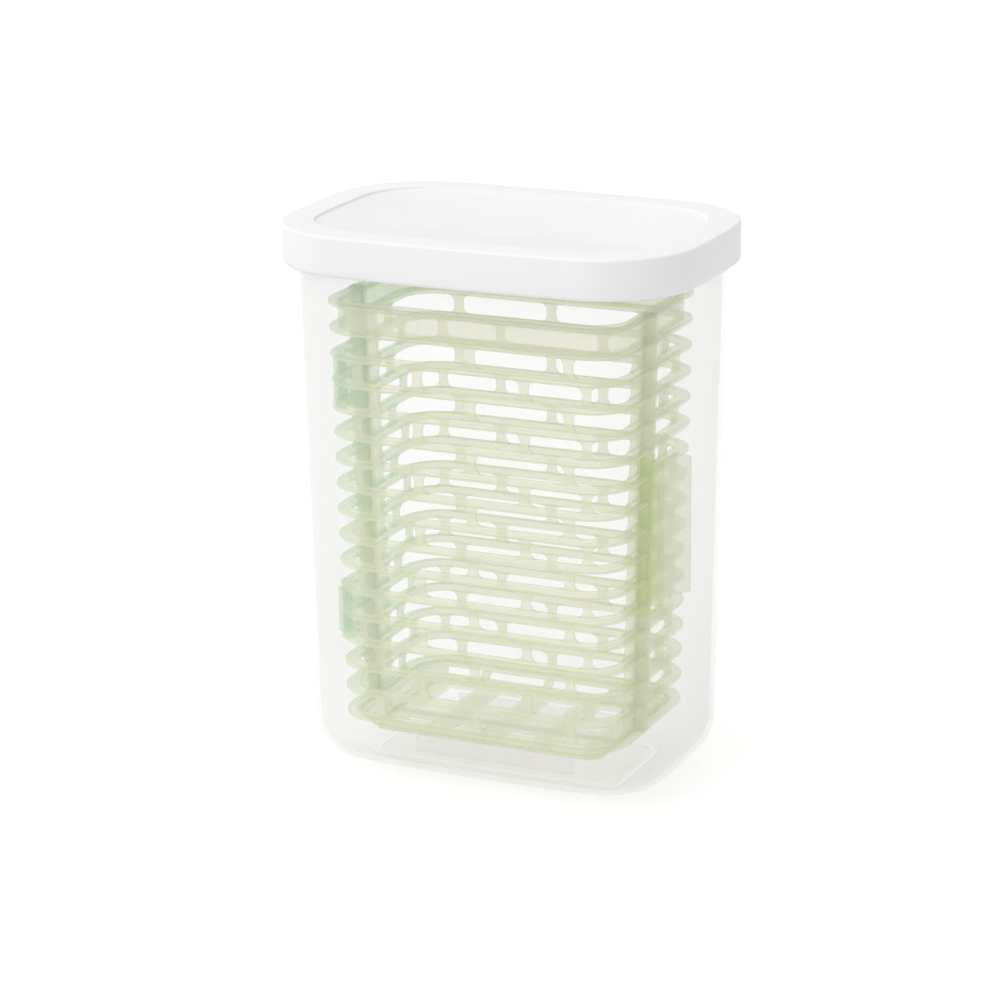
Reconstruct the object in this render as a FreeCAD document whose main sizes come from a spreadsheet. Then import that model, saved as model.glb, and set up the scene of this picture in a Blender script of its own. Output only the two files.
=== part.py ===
import FreeCAD, Part
import math
import os

import Sketcher
from FreeCAD import Vector

os.makedirs("parts", exist_ok=True)

# Herb keeper, millimetres. The origin is the middle of the container's foot, Z is up,
# X runs along the width with the latch on +X, and the basket's door faces -Y.

doc = FreeCAD.newDocument("HerbKeeper")
sheet = doc.addObject("Spreadsheet::Sheet", "Sizes")

SIZES = [
    # name, millimetres or a count, what it sets
    ("lid_width", 142.0, "lid along X"),
    ("lid_depth", 96.0, "lid along Y"),
    ("lid_corner", 31.3, "corner radius of the lid"),
    ("lid_skirt", 13.3, "height of the lid with its skirt"),
    ("lid_top", 2.0, "thickness of the lid's top plate"),
    ("lid_wall", 2.4, "thickness of the lid's skirt"),
    ("lid_edge", 0.9, "rounding of the lid's top edge"),
    ("lid_lip", 1.6, "bevel of the skirt's lower edge"),
    ("recess_inset", 10.8, "from the lid's edge to the shallow recess"),
    ("recess_deep", 0.8, "depth of the recess"),
    ("plug_gap", 0.5, "clearance of the lid's plug in the container"),
    ("plug_wall", 1.6, "thickness of the lid's plug"),
    ("plug_tall", 7.0, "how far the plug reaches into the container"),
    ("lid_seat_gap", 0.2, "clearance between container rim and lid"),
    ("side_bow_long", 750.0, "radius of the bowed long sides"),
    ("side_bow_short", 450.0, "radius of the bowed short sides"),
    ("container_tall", 179.8, "foot to rim of the container"),
    ("mouth_width", 134.8, "container at the rim along X"),
    ("mouth_depth", 88.6, "container at the rim along Y"),
    ("mouth_corner", 28.0, "corner radius at the rim"),
    ("side_draw", 3.8, "how far each side draws in from rim to base"),
    ("base_round", 13.0, "rounding of the container's bottom edge"),
    ("wall", 1.8, "wall and floor of the container"),
    ("bead_out", 0.9, "how far the rim bead stands out"),
    ("bead_tall", 3.0, "height of the rim bead"),
    ("foot_inset", 18.0, "from the base outline to the foot ring"),
    ("foot_tall", 1.2, "height of the foot ring"),
    ("foot_ring", 3.0, "width of the foot ring"),
    ("stand_long", 56.0, "length of the two standing ribs in the container"),
    ("stand_wide", 2.0, "width of a standing rib"),
    ("stand_apart", 34.0, "between the middles of the standing ribs"),
    ("stand_gap", 0.2, "clearance between standing ribs and basket"),
    ("basket_low", 11.4, "underside of the basket above the table"),
    ("rim_width", 107.4, "basket flange at the rim along X"),
    ("rim_depth", 72.4, "basket flange at the rim along Y"),
    ("heel_width", 100.6, "basket flange at the lowest rib along X"),
    ("heel_depth", 70.4, "basket flange at the lowest rib along Y"),
    ("flange_corner", 15.0, "corner radius of the flanges"),
    ("flange_out", 3.1, "how far a flange stands out of the wall"),
    ("flange_thick", 1.1, "thickness of a flange"),
    ("basket_wall", 1.5, "wall of the basket"),
    ("pitch", 8.7, "from one flange to the next"),
    ("rows", 15, "rows of windows"),
    ("window_tall", 6.1, "height of a window"),
    ("heel_slope", 6.2, "how far the sloped heel draws in"),
    ("heel_tall", 6.0, "height of the sloped heel"),
    ("floor_thick", 1.4, "floor of the basket"),
    ("pillar", 3.0, "width of a pillar between windows"),
    ("pillar_step", 33.8, "between the pillars of the even rows"),
    ("odd_inner", 18.6, "inner pillars of the odd rows from the middle"),
    ("odd_outer", 40.0, "outer pillars of the odd rows from the middle"),
    ("heel_pillar", 23.5, "outer pillars of the heel from the middle"),
    ("split", -8.0, "Y of the plane between door and back"),
    ("split_gap", 0.3, "clearance between door and back"),
    ("post_thick", 2.1, "thickness of a seam post along Y"),
    ("post_wide", 9.0, "closed wall beside the seam, along Y"),
    ("hinge_out", 57.6, "hinge axis from the middle plane"),
    ("pin_radius", 1.6, "hinge pin"),
    ("pin_play", 0.1, "radial clearance of the clip on its pin"),
    ("clip_radius", 3.0, "outside of a hinge clip"),
    ("clip_slot", 2.4, "mouth of a hinge clip"),
    ("clip_tall", 14.6, "height of a hinge clip"),
    ("lug_tall", 2.4, "height of a hinge lug"),
    ("lug_radius", 2.2, "outside of a hinge lug"),
    ("lug_gap", 0.3, "clearance between lug and clip"),
    ("upper_hinge", 125.3, "middle of the upper hinge"),
    ("lower_hinge", 45.5, "middle of the lower hinge"),
    ("arm_thick", 1.6, "thickness of arms at the hinge"),
    ("latch_middle", 84.7, "middle height of the latch"),
    ("latch_tall", 47.0, "height of the latch"),
    ("latch_thick", 1.4, "thickness of the latch plate"),
    ("latch_reach", 13.0, "how far the latch runs past the split"),
    ("latch_flare", 4.4, "how far the finger lip stands out"),
    ("latch_gap", 0.3, "clearance of the latch"),
    ("latch_corner", 3.0, "corner rounding of the latch plate"),
    ("catch_back", 6.5, "front face of the catch behind the split"),
    ("catch_thick", 1.8, "thickness of the catch along Y"),
    ("catch_short", 2.0, "catch ends below the latch's ends"),
    ("catch_out", 1.0, "how far the catch stands out past the flanges"),
    ("ramp_out", 0.7, "height of the latch's ramp"),
    ("ramp_long", 2.4, "length of the latch's ramp"),
]
for row, (name, value, note) in enumerate(SIZES, start=1):
    sheet.set("A%d" % row, note)
    sheet.set("B%d" % row, str(value))
    sheet.setAlias("B%d" % row, name)
doc.recompute()


def size(name):
    """A driving dimension, read back from the sheet."""
    return float(sheet.get(name))


def bind(target, prop, formula):
    """Bind a property; each word of the formula that names a size points at the sheet."""
    words = []
    word = ""
    for letter in formula + " ":
        if letter.isalpha() or letter == "_":
            word += letter
            continue
        if word:
            known = any(word == name for name, _, _ in SIZES)
            words.append("Sizes." + word if known else word)
            word = ""
        words.append(letter)
    target.setExpression(prop, "".join(words).strip())


def value_of(formula):
    """The present value of a formula of sizes, for first drawings and for tests."""
    probe = doc.addObject("App::FeaturePython", "Probe")
    probe.addProperty("App::PropertyFloat", "Result")
    bind(probe, "Result", formula)
    probe.recompute()
    result = probe.Result
    doc.removeObject(probe.Name)
    return result


def plane_of(body, role):
    """One of the body's own origin planes."""
    return next(item for item in body.Origin.OriginFeatures if item.Role == role)


def new_sketch(body, name, height="0", role="XY_Plane"):
    """A sketch on a plane of its own body, lifted to a height."""
    sketch = body.newObject("Sketcher::SketchObject", name)
    sketch.AttachmentSupport = [(plane_of(body, role), "")]
    sketch.MapMode = "FlatFace"
    bind(sketch, "AttachmentOffset.Base.z", height)
    return sketch


def drive(sketch, name, constraint, formula):
    """Add a driving constraint and bind it to the sizes."""
    index = sketch.addConstraint(constraint)
    sketch.renameConstraint(index, name)
    bind(sketch, "Constraints." + name, formula)


def draw_rounded(sketch, width, depth, corner):
    """A rounded rectangle about the origin: four sides, four tangent corner arcs."""
    w, d, r = value_of(width) / 2, value_of(depth) / 2, value_of(corner)
    ends = [(w - r, -d), (w, -d + r), (w, d - r), (w - r, d),
            (-w + r, d), (-w, d - r), (-w, -d + r), (-w + r, -d)]
    middles = [(w - r, -d + r), (w - r, d - r), (-w + r, d - r), (-w + r, -d + r)]
    first = sketch.GeometryCount
    sides, corners = [], []
    for k in range(4):
        start, end = Vector(*ends[2 * k - 1], 0), Vector(*ends[2 * k], 0)
        sides.append(sketch.addGeometry(Part.LineSegment(start, end), False))
        circle = Part.Circle(Vector(*middles[k], 0), Vector(0, 0, 1), r)
        turn = math.pi / 2 * k
        corners.append(sketch.addGeometry(Part.ArcOfCircle(circle, turn - math.pi / 2, turn), False))
    for k in range(4):
        sketch.addConstraint(Sketcher.Constraint("Tangent", sides[k], 2, corners[k], 1))
        sketch.addConstraint(Sketcher.Constraint("Tangent", corners[k], 2, sides[(k + 1) % 4], 1))
    for k in (1, 2, 3):
        sketch.addConstraint(Sketcher.Constraint("Equal", corners[0], corners[k]))
    sketch.addConstraint(Sketcher.Constraint("Horizontal", sides[0]))
    sketch.addConstraint(Sketcher.Constraint("Vertical", sides[1]))
    sketch.addConstraint(Sketcher.Constraint("Symmetric", corners[0], 3, corners[2], 3, -1, 1))
    spell = letters(first)
    drive(sketch, "corner" + spell, Sketcher.Constraint("Radius", corners[0], r), corner)
    across = Sketcher.Constraint("DistanceX", corners[3], 3, corners[0], 3, 2 * (w - r))
    drive(sketch, "width" + spell, across, "(%s) - 2 * (%s)" % (width, corner))
    along = Sketcher.Constraint("DistanceY", corners[0], 3, corners[1], 3, 2 * (d - r))
    drive(sketch, "depth" + spell, along, "(%s) - 2 * (%s)" % (depth, corner))


def letters(number):
    """A number spelled with letters, for names that must be words."""
    return "".join(chr(ord("a") + int(digit)) for digit in str(number))


def draw_bowed(sketch, width, depth, corner, inset="0"):
    """A rounded rectangle whose sides bow outward: eight tangent arcs about the origin."""
    w, d = value_of(width) / 2, value_of(depth) / 2
    r, off = value_of(corner), value_of(inset)
    long_radius, short_radius = size("side_bow_long") - off, size("side_bow_short") - off
    w, d, r = w - off, d - off, r - off
    # the corner circle touches a long and a short side from inside
    south, east = (0.0, long_radius - d), (w - short_radius, 0.0)
    a, b = long_radius - r, short_radius - r
    gap = math.hypot(east[0] - south[0], east[1] - south[1])
    along = (a * a - b * b + gap * gap) / (2 * gap)
    side = math.sqrt(a * a - along * along)
    ux, uy = (east[0] - south[0]) / gap, (east[1] - south[1]) / gap
    cx, cy = south[0] + along * ux + side * uy, south[1] + along * uy - side * ux
    if cx < 0 or cy > 0:
        cx, cy = south[0] + along * ux - side * uy, south[1] + along * uy + side * ux
    lean = math.atan2(cy - south[1], cx - south[0])
    rise = math.atan2(cy - east[1], cx - east[0])
    up = Vector(0, 0, 1)
    arcs = []
    spots = [
        (0.0, south[1], long_radius, -math.pi - lean, lean),
        (cx, cy, r, lean, rise),
        (east[0], 0.0, short_radius, rise, -rise),
        (cx, -cy, r, -rise, -lean),
        (0.0, -south[1], long_radius, -lean, math.pi + lean),
        (-cx, -cy, r, math.pi + lean, math.pi + rise),
        (-east[0], 0.0, short_radius, math.pi + rise, math.pi - rise),
        (-cx, cy, r, math.pi - rise, math.pi - lean),
    ]
    first = sketch.GeometryCount
    for x, y, radius, start, end in spots:
        circle = Part.Circle(Vector(x, y, 0), up, radius)
        arcs.append(sketch.addGeometry(Part.ArcOfCircle(circle, start, end), False))
    for k in range(8):
        sketch.addConstraint(Sketcher.Constraint("Tangent", arcs[k], 2, arcs[(k + 1) % 8], 1))
    for k in (3, 5, 7):
        sketch.addConstraint(Sketcher.Constraint("Equal", arcs[1], arcs[k]))
    sketch.addConstraint(Sketcher.Constraint("Equal", arcs[0], arcs[4]))
    sketch.addConstraint(Sketcher.Constraint("Equal", arcs[2], arcs[6]))
    sketch.addConstraint(Sketcher.Constraint("PointOnObject", arcs[0], 3, -2))
    sketch.addConstraint(Sketcher.Constraint("PointOnObject", arcs[2], 3, -1))
    spell = letters(first)
    for tag, arc, radius, formula in (("corner", 1, r, "(%s) - (%s)" % (corner, inset)),
                                      ("long", 0, long_radius, "side_bow_long - (%s)" % inset),
                                      ("short", 2, short_radius, "side_bow_short - (%s)" % inset)):
        drive(sketch, tag + spell, Sketcher.Constraint("Radius", arcs[arc], radius), formula)
    drive(sketch, "depth" + spell, Sketcher.Constraint("DistanceY", arcs[4], 3, arcs[0], 3, 2 * south[1]),
          "2 * side_bow_long - (%s)" % depth)
    drive(sketch, "width" + spell, Sketcher.Constraint("DistanceX", arcs[2], 3, arcs[6], 3, -2 * east[0]),
          "2 * side_bow_short - (%s)" % width)
    sketch.addConstraint(Sketcher.Constraint("Symmetric", arcs[0], 3, arcs[4], 3, -1, 1))
    sketch.addConstraint(Sketcher.Constraint("Symmetric", arcs[2], 3, arcs[6], 3, -1, 1))


def pad(body, sketch, name, length, reverse=False):
    feature = body.newObject("PartDesign::Pad", name)
    feature.Profile = sketch
    bind(feature, "Length", length)
    feature.Reversed = reverse
    return feature


def pocket(body, sketch, name, length, reverse=False):
    feature = body.newObject("PartDesign::Pocket", name)
    feature.Profile = sketch
    bind(feature, "Length", length)
    feature.Reversed = reverse
    return feature


def loft(body, sketches, name, kind="PartDesign::AdditiveLoft"):
    feature = body.newObject(kind, name)
    feature.Profile = sketches[0]
    feature.Sections = sketches[1:]
    feature.Ruled = True
    return feature


def numbered(items, kind):
    """Each face or edge with the name that a feature uses for it."""
    return [("%s%d" % (kind, index), item) for index, item in enumerate(items, start=1)]


def edges_at(shape, height, tolerance=0.02):
    """Names of the edges that lie at a height."""
    found = []
    for name, edge in numbered(shape.Edges, "Edge"):
        bounds = edge.BoundBox
        if abs(bounds.ZMin - height) < tolerance and abs(bounds.ZMax - height) < tolerance:
            found.append(name)
    return found


def fillet(body, base, names, name, radius):
    feature = body.newObject("PartDesign::Fillet", name)
    feature.Base = (base, names)
    bind(feature, "Radius", radius)
    return feature


def chamfer(body, base, names, name, amount):
    feature = body.newObject("PartDesign::Chamfer", name)
    feature.Base = (base, names)
    bind(feature, "Size", amount)
    return feature


# Container

def drawn_block(name, bottom, inset):
    """A bowed block that stands on a level and draws in towards its base by a draft."""
    body = doc.addObject("PartDesign::Body", name)
    outline = new_sketch(body, name + "_outline", bottom)
    draw_bowed(outline, "mouth_width", "mouth_depth", "mouth_corner", inset)
    block = pad(body, outline, name + "_pad", "container_tall - (%s)" % bottom)
    doc.recompute()
    top = size("container_tall")
    faces = numbered(block.Shape.Faces, "Face")
    sides = [word for word, face in faces if face.BoundBox.ZLength > top / 2]
    lid_face = [word for word, face in faces if face.BoundBox.ZMin > top - 0.01]
    taper = body.newObject("PartDesign::Draft", name + "_draft")
    taper.Base = (block, sides)
    taper.NeutralPlane = (block, lid_face)
    bind(taper, "Angle", "atan(side_draw / container_tall)")
    doc.recompute()
    if taper.Shape.Volume > block.Shape.Volume:
        taper.Reversed = True
        doc.recompute()
    return body, taper


def make_container():
    """A milky drawn-in beaker with a bowed outline, a round bottom edge and a foot ring."""
    body, outside = drawn_block("BeakerOutside", "foot_tall", "0")
    names = edges_at(outside.Shape, size("foot_tall"))
    fillet(body, outside, names, "bottom_edge", "base_round")
    bead = new_sketch(body, "bead_outline", "container_tall")
    draw_bowed(bead, "mouth_width + 2 * bead_out", "mouth_depth + 2 * bead_out", "mouth_corner + bead_out")
    pad(body, bead, "rim_bead", "bead_tall", reverse=True)
    foot = new_sketch(body, "foot_outline", "foot_tall")
    draw_bowed(foot, "mouth_width", "mouth_depth", "mouth_corner", "side_draw + foot_inset")
    draw_bowed(foot, "mouth_width", "mouth_depth", "mouth_corner", "side_draw + foot_inset + foot_ring")
    body.Tip = pad(body, foot, "foot_ring_pad", "foot_tall", reverse=True)
    room, inside = drawn_block("ContainerRoom", "foot_tall + wall", "wall")
    names = edges_at(inside.Shape, size("foot_tall") + size("wall"))
    fillet(room, inside, names, "inner_bottom_edge", "base_round - wall")
    beaker = cut("Beaker", body, room)
    return finish(fuse("ContainerShape", [beaker, make_standing_ribs()]), "container")


def make_standing_ribs():
    """Two low ribs on the container's floor that carry the basket above the water."""
    ribs = []
    for tag, middle in (("front", "-stand_apart / 2"), ("rear", "stand_apart / 2")):
        ribs.append(box("standing_rib_" + tag, "-stand_long / 2", "stand_long / 2",
                        middle + " - stand_wide / 2", middle + " + stand_wide / 2",
                        "foot_tall + wall / 2", "basket_low - stand_gap"))
    return fuse("StandingRibs", ribs)


# Lid

def make_lid():
    """A white cap: bowed outline, shallow recess on top, skirt outside and plug inside."""
    body = doc.addObject("PartDesign::Body", "Lid")
    body.Label = "lid"
    top_level = "container_tall + lid_seat_gap + lid_top"
    outline = new_sketch(body, "lid_outline", top_level)
    draw_bowed(outline, "lid_width", "lid_depth", "lid_corner")
    cap = pad(body, outline, "cap", "lid_skirt", reverse=True)
    doc.recompute()
    upper = value_of(top_level)
    top_edges = fillet(body, cap, edges_at(cap.Shape, upper), "top_edge", "lid_edge")
    doc.recompute()
    low_names = edges_at(top_edges.Shape, upper - size("lid_skirt"))
    chamfer(body, top_edges, low_names, "skirt_edge", "lid_lip")
    dish = new_sketch(body, "recess_outline", top_level)
    draw_bowed(dish, "lid_width", "lid_depth", "lid_corner", "recess_inset")
    pocket(body, dish, "recess", "recess_deep")
    inside = new_sketch(body, "skirt_inside", top_level + " - lid_skirt")
    draw_bowed(inside, "lid_width", "lid_depth", "lid_corner", "lid_wall")
    pocket(body, inside, "inside", "lid_skirt - lid_top", reverse=True)
    plug = new_sketch(body, "plug_outline", "container_tall + lid_seat_gap")
    reach = "wall + plug_gap + side_draw * plug_tall / container_tall"
    draw_bowed(plug, "mouth_width", "mouth_depth", "mouth_corner", reach)
    draw_bowed(plug, "mouth_width", "mouth_depth", "mouth_corner", reach + " + plug_wall")
    body.Tip = pad(body, plug, "plug", "plug_tall", reverse=True)
    return body


# Basket halves

RIM_LEVEL = "(basket_low + heel_tall + (rows + 1) * pitch + flange_thick / 2)"
HEEL_LEVEL = "(basket_low + heel_tall)"


def rib_level(count):
    """Middle height of a flange, counted up from the heel."""
    return "(basket_low + heel_tall + %d * pitch)" % count


def outline_at(level, shrink):
    """Width, depth and corner of the basket's outline at a level, drawn in by an amount."""
    share = "((%s) - %s) / (%s - %s)" % (level, HEEL_LEVEL, RIM_LEVEL, HEEL_LEVEL)
    width = "heel_width + (rim_width - heel_width) * %s - 2 * (%s)" % (share, shrink)
    depth = "heel_depth + (rim_depth - heel_depth) * %s - 2 * (%s)" % (share, shrink)
    return width, depth, "flange_corner - (%s)" % shrink


def frustum(name, low, high, low_shrink, high_shrink, low_draw="0", high_draw="0"):
    """A tapered block of the basket's outline between two levels, as a loft of two outlines."""
    body = doc.addObject("PartDesign::Body", name)
    sketches = []
    for tag, level, shrink, draw in (("low", low, low_shrink, low_draw),
                                     ("high", high, high_shrink, high_draw)):
        sketch = new_sketch(body, name + "_" + tag, level)
        draw_rounded(sketch, *outline_at(level, "%s + %s" % (shrink, draw)))
        sketches.append(sketch)
    body.Tip = loft(body, sketches, name + "_loft")
    return body


def box(name, x0, x1, y0, y1, z0, z1):
    """A block between six bounds, each a formula of sizes."""
    block = doc.addObject("Part::Box", name)
    for prop, low, high in (("Length", x0, x1), ("Width", y0, y1), ("Height", z0, z1)):
        bind(block, prop, "(%s) - (%s)" % (high, low))
    for axis, low in (("x", x0), ("y", y0), ("z", z0)):
        bind(block, "Placement.Base.%s" % axis, low)
    return block


def fuse(name, shapes):
    if len(shapes) == 1:
        return shapes[0]
    joined = doc.addObject("Part::MultiFuse", name)
    joined.Shapes = shapes
    return joined


def common(name, base, tool):
    shared = doc.addObject("Part::Common", name)
    shared.Base = base
    shared.Tool = tool
    return shared


def cut(name, base, tool):
    rest = doc.addObject("Part::Cut", name)
    rest.Base = base
    rest.Tool = tool
    return rest


WIDE = "rim_width"
ROWS = int(size("rows"))


def make_lattice():
    """The whole basket before it is split: wall, flanges, seam posts, floor and windows."""
    wall_outer = frustum("wall_outer", HEEL_LEVEL, RIM_LEVEL, "flange_out", "flange_out")
    heel_outer = frustum("heel_outer", "basket_low", HEEL_LEVEL, "flange_out", "flange_out", "heel_slope", "0")
    envelope = frustum("flange_envelope", HEEL_LEVEL + " - flange_thick", RIM_LEVEL, "0", "0")
    slabs = []
    for count in range(ROWS + 2):
        level = rib_level(count)
        slabs.append(box("flange_slab_%02d" % count, "-" + WIDE, WIDE, "-" + WIDE, WIDE,
                         level + " - flange_thick / 2", level + " + flange_thick / 2"))
    flanges = common("flanges", envelope, fuse("flange_slabs", slabs))
    posts = []
    for tag, edge in (("left", "-" + WIDE), ("right", "0")):
        posts.append(box("seam_post_" + tag, edge, edge + " + " + WIDE,
                         "split - split_gap / 2 - post_thick", "split + split_gap / 2 + post_thick",
                         HEEL_LEVEL, RIM_LEVEL))
    seams = common("seams", envelope, fuse("seam_blocks", posts))
    solid = fuse("solid_basket", [wall_outer, heel_outer, flanges, seams, make_catch()])
    cavity = frustum("cavity", HEEL_LEVEL, RIM_LEVEL, "flange_out + basket_wall", "flange_out + basket_wall")
    heel_cavity = frustum("heel_cavity", "basket_low + floor_thick", HEEL_LEVEL, "flange_out + basket_wall",
                          "flange_out + basket_wall", "heel_slope * (1 - floor_thick / heel_tall)", "0")
    shell = cut("shell", solid, fuse("cavities", [cavity, heel_cavity]))
    windows = fuse("windows", [make_windows(0), make_windows(1), make_heel_slots()])
    return cut("lattice", shell, windows)


def make_windows(odd):
    """The windows of the even or odd rows: bands through the wall, less the upright bars."""
    bands, bars = [], []
    tag = "odd" if odd else "even"
    for row in range(odd, ROWS, 2):
        middle = "(%s - pitch / 2)" % rib_level(ROWS - row)
        bands.append(box("band_%02d" % row, "-" + WIDE, WIDE, "-" + WIDE, WIDE,
                         middle + " - window_tall / 2", middle + " + window_tall / 2"))
    low, high = "basket_low", RIM_LEVEL
    middles = ["-pillar_step", "0", "pillar_step"]
    if odd:
        middles = ["-odd_outer", "-odd_inner", "odd_inner", "odd_outer"]
    for index, middle in enumerate(middles):
        bars.append(box("%s_bar_%d" % (tag, index), middle + " - pillar / 2", middle + " + pillar / 2",
                        "-" + WIDE, WIDE, low, high))
    seam_low, seam_high = "split - post_wide", "split + post_wide"
    bars.append(box(tag + "_seam_bar", "-" + WIDE, WIDE, seam_low, seam_high, low, high))
    side = "split + post_wide + odd_inner" if odd else "split + post_wide + odd_inner / 2"
    bars.append(box(tag + "_side_bar", "-" + WIDE, WIDE,
                    side + " - pillar / 2", side + " + pillar / 2", low, high))
    return cut(tag + "_windows", fuse(tag + "_bands", bands), fuse(tag + "_bars", bars))


def make_heel_slots():
    """Slots in the sloped heel and drain slots in the floor."""
    slots = []
    low, high = "basket_low + floor_thick + 0.6", HEEL_LEVEL + " - flange_thick - 0.8"
    uprights = ["-odd_outer", "-heel_pillar", "0", "heel_pillar", "odd_outer"]
    for index, (start, end) in enumerate(zip(uprights, uprights[1:])):
        slots.append(box("heel_slot_%d" % index, start + " + pillar / 2", end + " - pillar / 2",
                         "-" + WIDE, WIDE, low, high))
    for index, place in enumerate(("-1.5", "-0.5", "0.5", "1.5")):
        middle = "(%s) * odd_inner" % place
        for tag, start, end in (("door", "split - post_wide * 1.6", "split - post_wide / 2"),
                                ("back", "split + post_wide / 2", "split + post_wide * 3")):
            slots.append(box("drain_%s_%d" % (tag, index),
                             middle + " - pillar * 1.6", middle + " + pillar * 1.6", start, end,
                             "basket_low - floor_thick", "basket_low + 2 * floor_thick"))
    return fuse("heel_slots", slots)


def finish(shape, label):
    """A named node with a placement of its own."""
    shape.Label = label
    return shape


def make_halves(lattice):
    low, high = "0", "container_tall"
    door_space = box("door_space", "-" + WIDE, WIDE, "-" + WIDE, "split - split_gap / 2", low, high)
    back_space = box("back_space", "-" + WIDE, WIDE, "split + split_gap / 2", WIDE, low, high)
    door = finish(common("DoorHalf", lattice, door_space), "basket_door")
    back = finish(common("BackHalf", lattice, back_space), "basket_back")
    return door, back


def cylinder(name, radius, x, y, z0, z1):
    """An upright cylinder."""
    rod = doc.addObject("Part::Cylinder", name)
    bind(rod, "Radius", radius)
    bind(rod, "Height", "(%s) - (%s)" % (z1, z0))
    for axis, low in (("x", x), ("y", y), ("z", z0)):
        bind(rod, "Placement.Base.%s" % axis, low)
    return rod


def flange_half_width(level):
    """Half the width over the flanges at a level."""
    width, _, _ = outline_at(level, "0")
    return "(%s) / 2" % width


def make_envelope(name, grow):
    """The tapered block over the flanges, grown by an amount, that outside pieces are cut to."""
    draw = "-(%s)" % grow
    return frustum(name, HEEL_LEVEL + " - flange_thick", RIM_LEVEL, draw, draw)


def make_hinge(tag, middle):
    """One hinge: a pin between two lugs on the back half, and an open clip on the door."""
    seat = flange_half_width(middle + " - clip_tall") + " - 1"
    half = "(clip_tall / 2 + lug_gap)"
    axis_x, axis_y = "-hinge_out", "split"
    pieces = [cylinder(tag + "_rod", "pin_radius", axis_x, axis_y,
                       "%s - %s - lug_tall" % (middle, half), "%s + %s + lug_tall" % (middle, half))]
    for end, sign in (("low", "-"), ("high", "+")):
        face = "%s %s %s" % (middle, sign, half)
        low, high = (face + " - lug_tall", face) if sign == "-" else (face, face + " + lug_tall")
        name = "%s_lug_%s" % (tag, end)
        pieces.append(cylinder(name + "_eye", "lug_radius", axis_x, axis_y, low, high))
        pieces.append(box(name, axis_x, "-(%s)" % seat, "split + split_gap / 2",
                          "split + split_gap / 2 + arm_thick", low, high))
    pin_solid = fuse(tag + "_pin_solid", pieces)
    pin = finish(cut(tag + "_pin_shape", pin_solid, make_envelope(tag + "_pin_seat", "0")), tag + "_hinge_pin")

    low, high = "%s - clip_tall / 2" % middle, "%s + clip_tall / 2" % middle
    ring = cylinder(tag + "_clip_outer", "clip_radius", axis_x, axis_y, low, high)
    arm = box(tag + "_clip_arm", axis_x, "-(%s)" % seat, "split - split_gap / 2 - arm_thick",
              "split - split_gap / 2", low, high)
    bore = cylinder(tag + "_clip_bore", "pin_radius + pin_play", axis_x, axis_y, low, high)
    mouth = box(tag + "_clip_mouth", axis_x + " - clip_slot / 2", axis_x + " + clip_slot / 2", "split",
                "split + 2 * clip_radius", low, high)
    clip_solid = fuse(tag + "_clip_solid", [ring, arm])
    clip_space = fuse(tag + "_clip_space", [bore, mouth, make_envelope(tag + "_clip_seat", "0")])
    return pin, finish(cut(tag + "_clip_shape", clip_solid, clip_space), tag + "_hinge_clip")


def prism(name, points, low, high):
    """An upright plate from a plan outline whose corner coordinates are formulas of sizes."""
    body = doc.addObject("PartDesign::Body", name)
    sketch = new_sketch(body, name + "_plan", low)
    spots = [Vector(value_of(x), value_of(y), 0) for x, y in points]
    lines = [sketch.addGeometry(Part.LineSegment(spots[k], spots[(k + 1) % len(spots)]), False)
             for k in range(len(spots))]
    for k in range(len(spots)):
        sketch.addConstraint(Sketcher.Constraint("Coincident", lines[k], 2, lines[(k + 1) % len(spots)], 1))
        across, along = points[k]
        for tag, kind, formula, spot in (("across", "DistanceX", across, spots[k].x),
                                         ("along", "DistanceY", along, spots[k].y)):
            drive(sketch, tag + letters(k), Sketcher.Constraint(kind, -1, 1, lines[k], 1, spot), formula)
    body.Tip = pad(body, sketch, name + "_pad", "(%s) - (%s)" % (high, low))
    return body


LATCH_LOW = "(latch_middle - latch_tall / 2)"
LATCH_HIGH = "(latch_middle + latch_tall / 2)"


def make_catch():
    """The upright catch on the back half, a little prouder than the flanges."""
    return box("Catch", "(%s) - flange_out - basket_wall / 2" % flange_half_width(LATCH_LOW),
               "(%s) + catch_out" % flange_half_width(LATCH_HIGH),
               "split + catch_back", "split + catch_back + catch_thick",
               LATCH_LOW + " + catch_short", LATCH_HIGH + " - catch_short")


def make_latch():
    """The spring clip that the door carries: a root, a plate over the catch, a ramp and a lip."""
    inner = "(%s) + catch_out + latch_gap" % flange_half_width(LATCH_HIGH)
    outer = inner + " + latch_thick"
    root_in = "(%s) - 1" % flange_half_width(LATCH_LOW)
    root_high = "split - split_gap / 2"
    root_low = root_high + " - post_thick"
    reach = "split + latch_reach"
    lip_end = reach + " + latch_flare * 0.6 + latch_thick * 0.8"
    ramp = "split + catch_back + catch_thick + latch_gap"
    points = [
        (root_in, root_high),
        (root_in, root_low),
        (outer, root_low),
        (outer, reach),
        (outer + " + latch_flare", reach + " + latch_flare * 0.6"),
        (inner + " + latch_flare", lip_end),
        (inner, reach + " + latch_thick * 0.5"),
        (inner, ramp + " + ramp_long"),
        (inner + " - ramp_out", ramp + " + ramp_long * 0.6"),
        (inner, ramp),
        (inner, root_high),
    ]
    blank = prism("LatchBlank", points, LATCH_LOW, LATCH_HIGH)
    face = doc.addObject("PartDesign::Body", "LatchFace")
    outline = new_sketch(face, "latch_face", "0", "YZ_Plane")
    start = root_low + " - latch_corner"
    bind(outline, "AttachmentOffset.Base.x", "((%s) + (%s)) / 2" % (lip_end, start))
    bind(outline, "AttachmentOffset.Base.y", "latch_middle")
    draw_rounded(outline, "(%s) - (%s)" % (lip_end, start), "latch_tall", "latch_corner")
    face.Tip = pad(face, outline, "latch_face_pad", WIDE)
    rounded = common("latch_rounded", blank, face)
    return finish(cut("LatchShape", rounded, make_envelope("latch_seat", "latch_gap")), "latch")


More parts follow.
